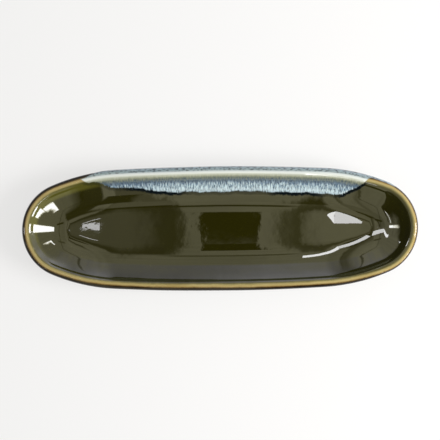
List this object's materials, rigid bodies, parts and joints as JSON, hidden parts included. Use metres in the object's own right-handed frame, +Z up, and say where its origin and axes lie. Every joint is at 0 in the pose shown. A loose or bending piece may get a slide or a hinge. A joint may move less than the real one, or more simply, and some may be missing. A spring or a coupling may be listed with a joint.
{
  "type": "asparagus plate",
  "caption": "Long oval serving dish in green-glazed stoneware, with a rounded rim, a low foot ring and a pale second glaze poured over one long side.",
  "frame": {"origin": "on the table plane, under the middle of the plate", "axes": "+X along the length, +Y towards the long side with the poured glaze, +Z up"},
  "size_m": [0.38, 0.1195, 0.0325],
  "materials": {
    "clay": "fired stoneware, bare and matt, seen on the foot ring only",
    "liner": "deep olive green glaze, very glossy, darker where it pools",
    "rim": "thin honey-coloured break of the glaze over the crest, glossy",
    "outside": "dark brown glaze, glossy",
    "base": "dark olive brown glaze, glossy",
    "poured": "pale blue and white glaze with fine downward streaks, glossy"
  },
  "bodies": {
    "root": {"clay_body": "clay", "liner_glaze": "liner", "rim_glaze": "rim", "outer_glaze": "outside", "base_glaze": "base", "poured_glaze": "poured"}
  },
  "joints": []
}
